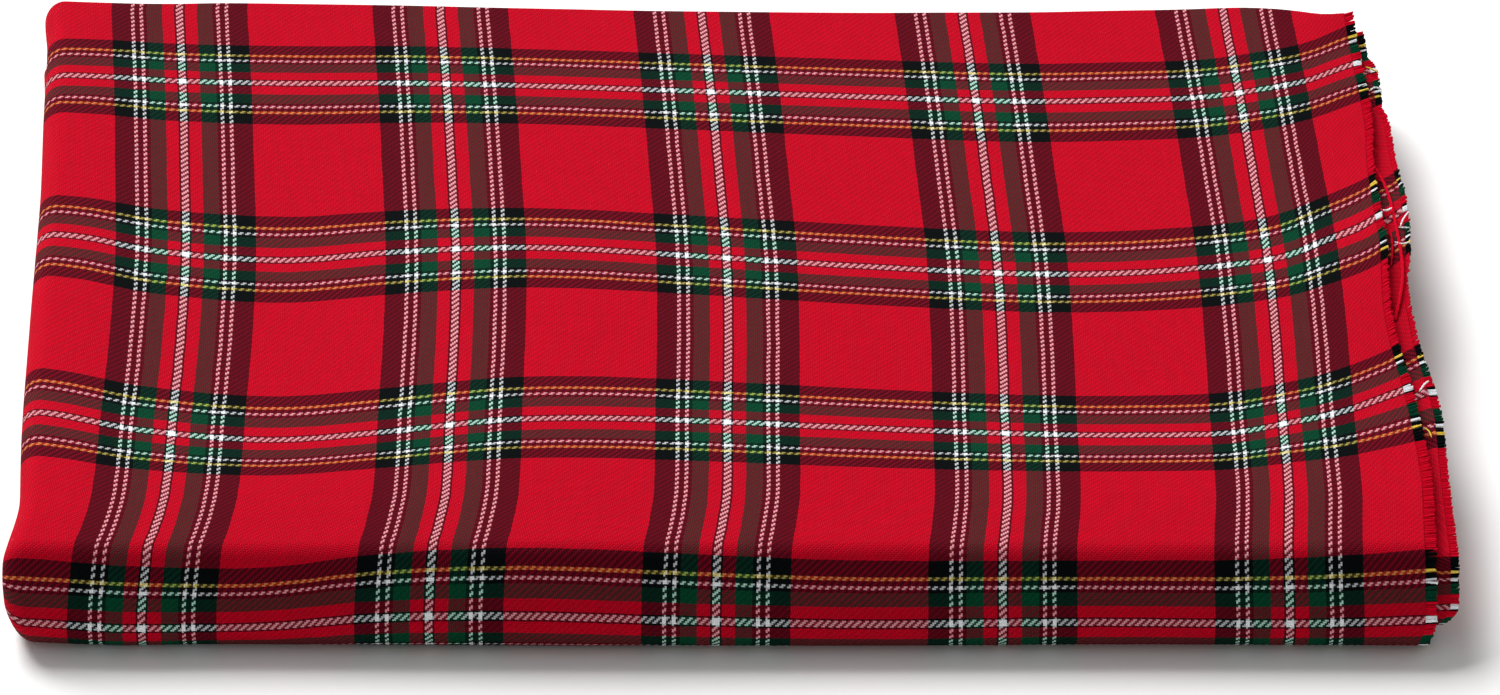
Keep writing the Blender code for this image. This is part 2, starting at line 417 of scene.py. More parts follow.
        warp_over = self._over(shader, warp_colour, weft_colour)
        weft_over = self._over(shader, weft_colour, warp_colour)
        top = blend(warp_on_top, weft_over, warp_over)
        even = blend(0.5, weft_over, warp_over)
        brightest = shader.math("MAXIMUM", shader.add("RGBToBW", None, {0: warp_colour}),
                                shader.add("RGBToBW", None, {0: weft_colour}))
        bloom = shader.math("MULTIPLY", shader.math("SUBTRACT", 1.0, brightest), self.bloom)
        soft = blend(bloom, top, even)
        # Painted shade in the grooves, where the relief is low.
        groove = shader.math("MULTIPLY_ADD", height, 1.0 - self.groove_shade, self.groove_shade)
        # Painted shade on the weft floats, which draws the twill rib.
        rib = shader.math("MULTIPLY_ADD", warp_on_top, 1.0 - self.weft_shade, self.weft_shade)
        shade = shader.math("SUBTRACT", 1.0, shader.math("MULTIPLY", groove, rib))
        # Pale colours take less of the painted shade.
        dull = shader.math("SUBTRACT", 1.0, shader.add("RGBToBW", None, {0: soft}))
        light = shader.math("SUBTRACT", 1.0, shader.math("MULTIPLY", shade, dull))
        return shader.add("VectorMath", {"operation": "SCALE"}, {0: soft, "Scale": light})

    def _dye(self, shader: Shader, colour, warp, weft, across, along):
        """Each yarn a little lighter or darker than the next, and changing along its length.

        Args:
            shader: the material being made.
            colour: the colour so far.
            warp: the warp yarn's number.
            weft: the weft yarn's number.
            across: place across, in yarns.
            along: place along, in yarns.

        Returns:
            A colour socket.
        """
        def level(number, place):
            """A slow noise along one yarn."""
            far = shader.math("DIVIDE", place, self.slub_length)
            where = shader.add("CombineXYZ", None, {0: shader.math("MULTIPLY", number, 7.31), 1: far})
            noise = shader.add("TexNoise", None, {"Vector": where, "Scale": 1.0, "Detail": 1.0})
            return shader.math("SUBTRACT", noise, 0.5)

        both = shader.math("ADD", level(warp, along), level(weft, across))
        light = shader.math("MULTIPLY_ADD", both, 2.0 * self.uneven_dye, 1.0)
        return shader.add("VectorMath", {"operation": "SCALE"}, {0: colour, "Scale": light})


@dataclass(frozen=True)
class YarnEndFinish:
    """Loose ends of the same worsted yarns: softer than the cloth, with fibres that catch light."""

    name: str = "worsted_yarn_ends"
    roughness: float = 0.9
    sheen: float = 0.06
    own_tint: float = 0.65

    def build(self) -> bpy.types.Material:
        """Make the material, which reads each yarn's own weft number.

        Returns:
            The material.
        """
        shader = Shader(self.name)
        number = shader.add("Attribute", {"attribute_name": "weft_number"}, None, "Fac")
        colour = shader.yarn_colour(number, WEFT_SETT)
        place = shader.add("TexCoord", None, None, "Object")
        fibres = shader.add("TexNoise", None, {"Vector": place, "Scale": 1.0 / (0.4 * MM),
                                               "Detail": 2.0})
        light = shader.math("MULTIPLY_ADD", fibres, 0.7, 0.62)
        deep = shader.add("Mix", {"data_type": "RGBA", "blend_type": "MULTIPLY"},
                          {0: self.own_tint, 6: colour, 7: colour}, 2)
        varied = shader.add("VectorMath", {"operation": "SCALE"}, {0: deep, "Scale": light})
        shader.link(varied, "Base Color")
        shader.link(varied, "Sheen Tint")
        shader.surface.inputs["Roughness"].default_value = self.roughness
        shader.surface.inputs["Sheen Weight"].default_value = self.sheen
        shader.surface.inputs["Specular IOR Level"].default_value = 0.03
        return shader.material


@dataclass(frozen=True)
class Section:
    """A stretch across the cloth: a run between two edges, or a fold that turns out at one."""

    first_layer: int
    last_layer: int
    start: Edge
    end: Edge
    side: Side
    segments: int


@dataclass(frozen=True)
class Swell:
    """A soft rise or dip of the layers."""

    x: float
    y: float
    reach_x: float
    reach_y: float
    height: float

    def at(self, x: float, y: float) -> float:
        """Height of the swell at a place."""
        across = (x - self.x) / self.reach_x
        along = (y - self.y) / self.reach_y
        return self.height * math.exp(-across * across - along * along)


@dataclass(frozen=True)
class Station:
    """A place along the length, with where the outermost and innermost layers pass it."""

    outer_y: float
    outer_z: float
    inner_y: float
    inner_z: float
    topness: float
    back: float
    travelled: float


@dataclass
class Outline:
    """The folded and raw edges seen from above, in the maker's own frame."""

    left_x: float = -197.0 * MM
    left_lean: float = -0.042
    right_x: float = 179.8 * MM
    right_lean: float = -0.026
    lower_left_x: float = -197.5 * MM
    lower_left_lean: float = -0.053
    lower_front_left_out: float = 3.0 * MM
    lower_right_x: float = 178.0 * MM
    lower_right_lean: float = -0.021
    lower_bow: float = 1.0 * MM
    lower_middle: tuple[float, float] = (-9 * MM, 38 * MM)
    lower_half: tuple[float, float] = (187 * MM, 126 * MM)
    fold_sway: float = 0.5 * MM
    fold_sway_length: float = 27 * MM
    left_outs: tuple[tuple[float, float], ...] = (
        (-90, -0.2), (-60, 0.0), (-30, 0.4), (0, 0.5), (25, 0.5), (45, 0.2), (60, -0.2),
        (80, -0.8), (110, -1.0), (150, -0.9), (162, 0.2), (170, 0.6),
    )
    right_fold_out: float = 2.0 * MM
    inner_fold_inset: float = 4.6 * MM
    step_under: float = 3.5 * MM
    outer_outs: tuple[tuple[float, float], ...] = (
        (-100, -0.6), (-85, -0.4), (-58, 1.4), (-33, 1.1), (-16, 0.2), (5, -1.5), (22, -1.8),
        (49, -0.3), (61, -0.5), (88, -0.3), (111, 1.0), (142, 0.3), (167, -0.4),
    )
    inner_outs: tuple[tuple[float, float], ...] = (
        (-100, 5.4), (-82, 5.8), (-61, 6.3), (-37, 7.1), (-24, 7.5), (-14, 6.9), (4, 5.1),
        (10, 4.6), (21, 4.3), (27, 4.1), (36, 4.4), (42, 5.4), (49, 6.3), (64, 7.2), (71, 7.4),
        (84, 7.6), (90, 6.9), (108, 6.5), (119, 6.1), (122, 5.0), (135, 5.1), (146, 4.8),
        (150, 3.1), (161, 2.8), (168, 2.2),
    )
    front_blend_y: float = -60 * MM
    front_blend: float = 35 * MM
    front_left_out: float = 5.0 * MM
    front_right_out: float = 0.2 * MM
    tuck_from: float = 0.4

    @staticmethod
    def read(outs: tuple[tuple[float, float], ...], place: float) -> float:
        """Read a table of places and outs, both in millimetres, at a place in metres."""
        out, = smooth([row[0] * MM for row in outs], [(row[1] * MM,) for row in outs], place)
        return out

    def bow(self, place: float, axis: int) -> float:
        """How far a side of the underside bows inwards, nothing at its corners."""
        share = (place - self.lower_middle[axis]) / self.lower_half[axis]
        return self.lower_bow * (1.0 - share * share)

    def edges(self, y: float, topness: float, outwards: float) -> dict[Edge, float]:
        """X of the folds and raw edges where they cross a place along the length.

        Args:
            y: the place along.
            topness: 1 on the top half, 0 on the underside.
            outwards: 0 for the innermost layer, 1 for the outermost.

        Returns:
            X for each edge.
        """
        front = ease((self.front_blend_y - y) / self.front_blend)
        upper = ease(topness / self.tuck_from)
        lower = (1.0 - upper) * outwards
        bow = self.bow(y, 1)
        sway = self.fold_sway * math.sin(y / self.fold_sway_length)
        left_out = self.read(self.left_outs, y) - sway + front * self.front_left_out
        left_above = self.left_x + self.left_lean * y - left_out
        left_below = self.lower_left_x + self.lower_left_lean * y + bow
        left_below -= front * self.lower_front_left_out
        left = mix(left_above, left_below, lower)
        right_above = self.right_x + self.right_lean * y + front * self.front_right_out
        right_below = self.lower_right_x + self.lower_right_lean * y - bow
        right = mix(right_above, right_below, lower)
        return {
            Edge.RAW_OUTER: right + upper * self.read(self.outer_outs, y),
            Edge.LEFT_OUTER: left,
            Edge.RIGHT_FOLD: right + self.right_fold_out + sway,
            Edge.LEFT_INNER: left + self.inner_fold_inset,
            Edge.RAW_INNER: right + mix(self.step_under, self.read(self.inner_outs, y), upper),
        }


@dataclass
class FrontFold:
    """The fold along the length: a tight top bend, a slanting face and a bend that tucks under."""

    pitch: float
    pack_height: float
    top_z: float
    bottom_z: float
    bundle_depth: float
    bend_y: float = -84.0 * MM
    back_y: float = 164.6 * MM
    top_radius: float = 6.0 * MM
    slope: float = math.radians(55)
    under_radius: float = 7.5 * MM
    inner_in: float = 1.5 * MM
    top_steps: int = 72
    wrap_steps: int = 34
    under_steps: int = 40
    rim: float = 0.0012

    def _lengths(self) -> tuple[float, float, float]:
        """Lengths of the top bend, the face and the under bend, on the outermost layer."""
        drop = self.top_z - self.bottom_z
        top_drop = self.top_radius * (1 - math.cos(self.slope))
        under_drop = self.under_radius * (1 + math.cos(self.slope))
        face = (drop - top_drop - under_drop) / math.sin(self.slope)
        return self.top_radius * self.slope, face, self.under_radius * (math.pi - self.slope)

    def outer(self, share: float) -> tuple[float, float]:
        """(y, z) of the outermost layer, a share of the way round."""
        top_arc, face, under_arc = self._lengths()
        gone = share * (top_arc + face + under_arc)
        turn = min(gone / self.top_radius, self.slope)
        y = self.bend_y - self.top_radius * math.sin(turn)
        z = self.top_z - self.top_radius * (1 - math.cos(turn))
        slid = min(max(gone - top_arc, 0.0), face)
        y -= slid * math.cos(self.slope)
        z -= slid * math.sin(self.slope)
        under = max(gone - top_arc - face, 0.0) / self.under_radius
        y -= self.under_radius * (math.sin(self.slope + under) - math.sin(self.slope))
        z -= self.under_radius * (math.cos(self.slope) - math.cos(self.slope + under))
        return y, z

    def inner(self, share: float) -> tuple[float, float]:
        """(y, z) of the innermost layer, a share of the way round."""
        turn = math.pi * share
        radius = self.pitch / 2
        y = self.bend_y + self.inner_in - radius * math.sin(turn)
        return y, self.pack_height / 2 + radius * math.cos(turn)

    def stations(self) -> list[Station]:
        """Places along the length, from the top's back end round the front to the bottom's.

        Returns:
            The stations in order, with the length travelled on the outermost layer.
        """
        found: list[Station] = []
        inner_front = self.bend_y + self.inner_in
        backs = [1.0 - step / self.top_steps for step in range(self.top_steps)]
        for back in (1.0, 1.0 - self.rim, *backs[1:]):
            outer_y = mix(self.bend_y, self.back_y, back)
            inner_y = mix(inner_front, self.back_y, back)
            found.append(Station(outer_y, self.top_z, inner_y, self.top_z - self.bundle_depth,
                                 1.0, back, self.back_y - outer_y))
        start = self.back_y - self.bend_y
        wrap = sum(self._lengths())
        for step in range(self.wrap_steps + 1):
            share = step / self.wrap_steps
            found.append(Station(*self.outer(share), *self.inner(share), 1.0 - ease(share), 0.0,
                                 start + wrap * share))
        under_y = self.outer(1.0)[0]
        backs = [step / self.under_steps for step in range(1, self.under_steps)]
        for back in (*backs, 1.0 - self.rim, 1.0):
            outer_y = mix(under_y, self.back_y, back)
            inner_y = mix(inner_front, self.back_y, back)
            found.append(Station(outer_y, self.bottom_z, inner_y, self.bottom_z + self.bundle_depth,
                                 0.0, back, start + wrap + outer_y - under_y))
        return found


@dataclass(frozen=True)
class WarpLine:
    """Where the middle of the third lengthwise band lies, and how far apart the bands are."""

    travelled: float
    middle: float
    repeat: float


@dataclass(frozen=True)
class WeftLine:
    """Where the middles of the crosswise bands pass one place across, along the length."""

    x: float
    bands: tuple[float, float, float, float]


def warp_line(travelled: float, middle: float, repeat: float) -> WarpLine:
    """A row of the warp table, given in millimetres."""
    return WarpLine(travelled * MM, middle * MM, repeat * MM)


def weft_line(x: float, *bands: float) -> WeftLine:
    """A row of the weft table, given in millimetres."""
    return WeftLine(x * MM, tuple(band * MM for band in bands))


@dataclass
class Weave:
    """Where the yarns lie on the folded sheet. The wefts bow, and sweep back at the raw edges."""

    hidden_pitch: float = 0.5048 * MM
    weft_repeat: float = 78.0 * MM
    pulls: tuple[float, ...] = (0.10, 0.30, 0.15, 0.0)
    pull_from: float = 135 * MM
    pull_over: float = 45 * MM
    back_y: float = 164.6 * MM
    warps: tuple[WarpLine, ...] = (
        warp_line(-2, -14.1, 75.7), warp_line(40, -11.0, 75.5), warp_line(80, -8.6, 75.3),
        warp_line(118, -6.45, 75.15), warp_line(156, -5.8, 75.05), warp_line(192, -5.95, 75.0),
        warp_line(228, -6.0, 75.0), warp_line(243, -7.3, 75.2), warp_line(252, -8.4, 75.5),
        warp_line(270, -8.9, 76.0), warp_line(300, -8.9, 76.0),
    )
    wefts: tuple[WeftLine, ...] = (
        weft_line(-205, 133.2, 55.9, -25.2, -107.7),
        weft_line(-185, 131.9, 52.4, -30.1, -108.5),
        weft_line(-165, 130.4, 47.2, -35.2, -109.2),
        weft_line(-130, 129.4, 43.8, -38.9, -109.0),
        weft_line(-100, 129.3, 46.6, -36.6, -106.0),
        weft_line(-62, 127.6, 47.5, -32.2, -105.2),
        weft_line(-15, 125.0, 44.0, -32.1, -106.6),
        weft_line(30, 122.7, 40.2, -34.4, -107.7),
        weft_line(75, 120.9, 37.7, -36.3, -107.3),
        weft_line(105, 121.5, 38.0, -36.9, -107.3),
        weft_line(130, 122.7, 40.5, -36.3, -107.5),
        weft_line(148, 126.8, 43.7, -31.3, -107.4),
        weft_line(160, 130.8, 49.7, -27.4, -107.0),
        weft_line(172, 138.2, 56.6, -21.0, -106.5),
        weft_line(184, 143.3, 70.2, -13.7, -106.0),
    )

    def warp_number(self, x: float, travelled: float) -> float:
        """Place across in warp yarns, for a point of the outermost run.

        Args:
            x: the point's place across.
            travelled: length along the sheet from its back end to the point.

        Returns:
            Warp yarns from the middle line of the band before the first.
        """
        rows = [(line.middle, line.repeat) for line in self.warps]
        middle, repeat = smooth([line.travelled for line in self.warps], rows, travelled)
        return 2 * WARP_SETT.half * (3.0 + (x - middle) / repeat)

    def weft_number(self, x: float, travelled: float) -> float:
        """Place along in weft yarns.

        Args:
            x: the point's place across.
            travelled: length along the sheet from its back end to the point.

        Returns:
            Weft yarns from the middle line of the band before the first.
        """
        bands = smooth([line.x for line in self.wefts], [line.bands for line in self.wefts], x)
        places = [self.back_y - band for band in bands]
        if travelled <= places[0]:
            passed = 1.0 + (travelled - places[0]) / self.weft_repeat
        elif travelled >= places[-1]:
            passed = 4.0 + (travelled - places[-1]) / self.weft_repeat
        else:
            cell = bisect.bisect_right(places, travelled) - 1
            width = places[cell + 1] - places[cell]
            share = (travelled - places[cell]) / width
            pulled = ease((x - self.pull_from) / self.pull_over)
            first, last = (pull * pulled for pull in self.pulls[cell:cell + 2])
            if cell == len(places) - 2:
                last += 1.0 - width / self.weft_repeat
            passed = 1.0 + cell + share - first * share * (1.0 - share) ** 2
            passed += last * share * share * (1.0 - share)
        return 2 * WEFT_SETT.half * passed

    def slant(self, x: float, travelled: float) -> float:
        """Angle of the weft to the across direction, seen from above, in radians."""
        step = 1.0 * MM
        change = self.weft_number(x + step, travelled) - self.weft_number(x - step, travelled)
        per_yarn = self.weft_repeat / (2 * WEFT_SETT.half)
        return math.atan2(change * per_yarn, 2 * step)


@dataclass
class RawEdge:
    """One fringed selvedge: the edge's points along the cloth, with the weft that ends there."""

    name: str
    places: list[Point] = field(default_factory=list)
    wefts: list[float] = field(default_factory=list)
    slants: list[float] = field(default_factory=list)
    looseness: list[float] = field(default_factory=list)


@dataclass
class FoldedCloth:
    """The whole cloth, one thin sheet on the folds of its solid."""

    thickness: float = 1.0 * MM
    layers: int = 4
    pack_height: float = 28.5 * MM
    outer_reach: float = 5.6 * MM
    inner_reach: float = 2.2 * MM
    flat_below: float = 3 * MM
    front_wave: float = 0.5 * MM
    front_wave_length: float = 31 * MM
    front_wave_reach: float = 30 * MM
    back_lean: float = -0.0146
    loom_width: float = 1.50
    cut_length: float = 0.52
    outer_fringe: float = 3.0 * MM
    inner_fringe: float = 2.2 * MM
    rim: float = 0.0008
    sections: tuple[Section, ...] = (
        Section(3, 3, Edge.RAW_OUTER, Edge.LEFT_OUTER, Side.FLAT, 116),
        Section(3, 0, Edge.LEFT_OUTER, Edge.LEFT_OUTER, Side.LEFT, 20),
        Section(0, 0, Edge.LEFT_OUTER, Edge.RIGHT_FOLD, Side.FLAT, 20),
        Section(0, 1, Edge.RIGHT_FOLD, Edge.RIGHT_FOLD, Side.RIGHT, 10),
        Section(1, 1, Edge.RIGHT_FOLD, Edge.LEFT_INNER, Side.FLAT, 20),
        Section(1, 2, Edge.LEFT_INNER, Edge.LEFT_INNER, Side.LEFT, 10),
        Section(2, 2, Edge.LEFT_INNER, Edge.RAW_INNER, Side.FLAT, 44),
    )
    back_ends: tuple[tuple[float, float], ...] = (
        (-1.2 * MM, -4.2 * MM), (-2.4 * MM, -2.4 * MM), (-0.6 * MM, -1.0 * MM),
        (1.0 * MM, -3.0 * MM),
    )
    back_wander: tuple[tuple[float, float], ...] = (
        (-200, 2.4), (-190, 1.7), (-178, 1.4), (-165, 1.8), (-152, 2.4), (-120, 2.2), (-97, 1.8),
        (-75, 1.1), (-52, 0.6), (-30, 0.1), (-10, 0.0), (15, 0.0), (36, 0.2), (58, 0.8),
        (82, 1.4), (105, 2.5), (125, 3.3), (142, 4.4), (152, 3.9), (158, 2.8), (163, 1.1),
        (168, -0.4), (185, -0.8),
    )
    front_clear: float = 1.5 * MM
    front_tuck: tuple[tuple[float, float], ...] = (
        (-195, 3.8), (-182, 2.8), (-166, 1.8), (-145, 2.1), (-116, 1.8), (-39, 1.0), (40, 1.0),
        (105, 1.8), (180, 1.9),
    )
    swells: tuple[Swell, ...] = (
        Swell(-52 * MM, -10 * MM, 42 * MM, 95 * MM, 1.3 * MM),
        Swell(-128 * MM, 0.0, 34 * MM, 100 * MM, -1.1 * MM),
        Swell(88 * MM, 30 * MM, 50 * MM, 110 * MM, -1.2 * MM),
        Swell(-188 * MM, 20 * MM, 16 * MM, 150 * MM, 0.9 * MM),
        Swell(180 * MM, 46 * MM, 26 * MM, 42 * MM, 3.0 * MM),
        Swell(150 * MM, -66 * MM, 60 * MM, 18 * MM, 0.9 * MM),
        Swell(-120 * MM, -66 * MM, 50 * MM, 18 * MM, 0.8 * MM),
    )
    corner_curl: Swell = Swell(176 * MM, 166 * MM, 11 * MM, 9 * MM, 2.4 * MM)
    outline: Outline = field(default_factory=Outline)
    weave: Weave = field(default_factory=Weave)

    def __post_init__(self) -> None:
        """Work out the stack of layers and the fold along the length."""
        self.pitch = (self.pack_height - self.thickness) / (2 * self.layers - 1)
        self.fold = FrontFold(
            pitch=self.pitch,
            pack_height=self.pack_height,
            top_z=self.pack_height - self.thickness / 2,
            bottom_z=self.thickness / 2,
            bundle_depth=(self.layers - 1) * self.pitch,
        )
        self.along = self.fold.stations()

    def _turning_x(self, edges: dict[Edge, float], edge: Edge) -> float:
        """X where a run gives way to its fold. A raw edge stops short, to leave its fringe."""
        reach = {
            Edge.LEFT_OUTER: self.outer_reach,
            Edge.LEFT_INNER: self.inner_reach,
            Edge.RIGHT_FOLD: -self.inner_reach,
            Edge.RAW_OUTER: -self.outer_fringe,
            Edge.RAW_INNER: -self.inner_fringe,
        }
        return edges[edge] + reach[edge]

    def _layer(self, section: Section, share: float) -> float:
        """The layer a share of the way along a section. Between two whole numbers it is a fold."""
        turned = (1 - math.cos(math.pi * share)) / 2
        return mix(section.first_layer, section.last_layer, turned)

    def _across(self, section: Section, share: float, edges: dict[Edge, float]) -> float:
        """X a share of the way along a section."""
        start = self._turning_x(edges, section.start)
        if section.side is Side.FLAT:
            return mix(start, self._turning_x(edges, section.end), share)
        reach = abs(edges[section.start] - start)
        return start + section.side.value * reach * math.sin(math.pi * share)

    def _back_end(self, layer: float, topness: float) -> float:
        """How far the cut end of a layer, or of the fold between two layers, stands out."""
        lower = min(int(layer), self.layers - 2)
        share = layer - lower
        top = mix(self.back_ends[lower][0], self.back_ends[lower + 1][0], share)
        bottom = mix(self.back_ends[lower][1], self.back_ends[lower + 1][1], share)
        return mix(bottom, top, topness)

    def place(self, section: Section, share: float, station: Station) -> Point:
        """The sheet's middle surface at a place across and along the cloth.

        Args:
            section: the stretch across.
            share: how far along that stretch.
            station: the place along the length.

        Returns:
            The point in the maker's own frame.
        """
        layer = self._layer(section, share)
        outwards = layer / (self.layers - 1)
        edges = self.outline.edges(station.outer_y, station.topness, outwards)
        x = self._across(section, share, edges)
        y = mix(station.inner_y, station.outer_y, outwards)
        z = mix(station.inner_z, station.outer_z, outwards)
        y += station.back * (self._back_end(layer, station.topness) + self.back_lean * x)
        wander = self.outline.read(self.back_wander, x)
        y += station.back ** 3 * station.topness * wander
        y += (1.0 - station.topness) * self.outline.bow(x, 0) * (1.0 - 2.0 * station.back)
        tucked = self.outline.read(self.front_tuck, x)
        y += (1.0 - station.topness) * (1.0 - station.back) ** 4 * tucked
        past = (y - self.fold.bend_y + self.front_wave_reach) / (2 * self.front_wave_reach)
        wave = self.front_wave * math.sin(x / self.front_wave_length)
        y += (1.0 - ease(past)) * outwards * station.topness * wave
        lifted = ease((z - self.flat_below) / (self.pack_height - self.flat_below))
        rise = sum(swell.at(x, y) for swell in self.swells)
        if layer > 2:
            rise += (layer - 2) * self.corner_curl.at(x, y)
        return x, y, z + lifted * rise

    def surface(self, layer: int, x: float, y: float) -> float:
        """Height of the upper face of one of the top half's layers at a place."""
        height = self.fold.top_z - (self.layers - 1 - layer) * self.pitch
        lifted = ease((height - self.flat_below) / (self.pack_height - self.flat_below))
        rise = sum(swell.at(x, y) for swell in self.swells)
        return height + lifted * rise + self.thickness / 2

    def _columns(self) -> list[tuple[Section, float]]:
        """Every place across, as a section and a share of it, with a narrow rim at both edges."""
        found = [(section, step / section.segments)
                 for section in self.sections for step in range(section.segments)]
        found.insert(1, (self.sections[0], self.rim))
        found += [(self.sections[-1], 1.0 - self.rim), (self.sections[-1], 1.0)]
        return found

    def _offset(self, rows: list[list[Point]]) -> Vector:
        """What brings the maker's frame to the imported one, from the left fold and the front.

        Args:
            rows: the points in the maker's own frame.

        Returns:
            The move, flat along the surface.
        """
        half = self.thickness / 2
        lowest_x = min(point[0] for row in rows for point in row) - half
        lowest_y = min(point[1] for row in rows for point in row) - half
        return Vector((CAD_LOW[0] - lowest_x, CAD_LOW[1] + self.front_clear - lowest_y, 0.0))

    def build(self) -> bpy.types.Object:
        """Make the cloth's mesh, with its map counted in yarns.

        Returns:
            The cloth as one closed sheet.
        """
        columns = self._columns()
        rows = [[self.place(*column, station) for station in self.along] for column in columns]
        self.offset = self._offset(rows)
        numbers = self._number_yarns(rows)
        self.outer_edge = self._raw_edge("outer", rows[0], numbers[0])
        self.inner_edge = self._raw_edge("inner", rows[-1], numbers[-1])
        length = len(self.along)
        points = [Vector(point) + self.offset for row in rows for point in row]
        faces = [
            (corner, corner + length, corner + length + 1, corner + 1)
            for across in range(len(rows) - 1)
            for corner in range(across * length, across * length + length - 1)
        ]
        mesh = bpy.data.meshes.new("cloth")
        mesh.from_pydata(points, [], faces)
        woven = mesh.uv_layers.new(name="yarns")
        flat = [number for row in numbers for number in row]
        for loop in mesh.loops:
            woven.data[loop.index].uv = flat[loop.vertex_index]
        mesh.shade_smooth()
        cloth = bpy.data.objects.new("cloth", mesh)
        bpy.context.scene.collection.objects.link(cloth)
        sheet = cloth.modifiers.new("thickness", "SOLIDIFY")
        sheet.thickness = self.thickness
        sheet.offset = 0.0
        sheet.use_even_offset = True
        return cloth

    def _travelled(self, section: Section, share: float, station: Station, y: float) -> float:
        """Length along the sheet from its back end to a point of it.

        Args:
            section: the stretch across.
            share: how far along that stretch.
            station: the place along the length.
            y: where the point really lies.

        Returns:
            The length, counted as on the outermost layer.
        """
        outwards = self._layer(section, share) / (self.layers - 1)
        moved = y - mix(station.inner_y, station.outer_y, outwards)
        return station.travelled + moved * mix(1.0, -1.0, station.topness)

    def _number_yarns(self, rows: list[list[Point]]) -> list[list[tuple[float, float]]]:
        """Warp and weft number of every point, carried on round the folds by arc length.

        Args:
            rows: the points in the maker's own frame.

        Returns:
            A pair of numbers for each point.
        """
        numbers = []
        for across, (column, row) in enumerate(zip(self._columns(), rows)):
            line = []
            for along, (x, y, z) in enumerate(row):
                travelled = self._travelled(*column, self.along[along], y)
                if column[0] is self.sections[0] or column == (self.sections[1], 0.0):
                    warp = self.weave.warp_number(x, travelled)
                else:
                    gone = math.hypot(x - rows[across - 1][along][0], z - rows[across - 1][along][2])
                    warp = numbers[-1][along][0] - gone / self.weave.hidden_pitch
                line.append((warp, self.weave.weft_number(x, travelled)))
            numbers.append(line)
        return numbers

    def _raw_edge(self, name: str, row: list[Point], numbers: list[tuple[float, float]]) -> RawEdge:
        """Gather a selvedge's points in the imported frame.

        Args:
            name: the edge's name.
            row: the edge's points.
            numbers: the yarn numbers of those points.

        Returns:
            The edge.
        """
        edge = RawEdge(name)
        for (x, y, z), (_, weft), station in zip(row, numbers, self.along):
            edge.places.append(tuple(Vector((x, y, z)) + self.offset))
            edge.wefts.append(weft)
            edge.slants.append(self.weave.slant(x, station.travelled) * station.topness)
            edge.looseness.append(station.topness)
        return edge

    def dress(self, cloth: bpy.types.Object, finish: TwillFinish) -> None:
        """Give the cloth its finish."""
        cloth.data.materials.append(finish.build())


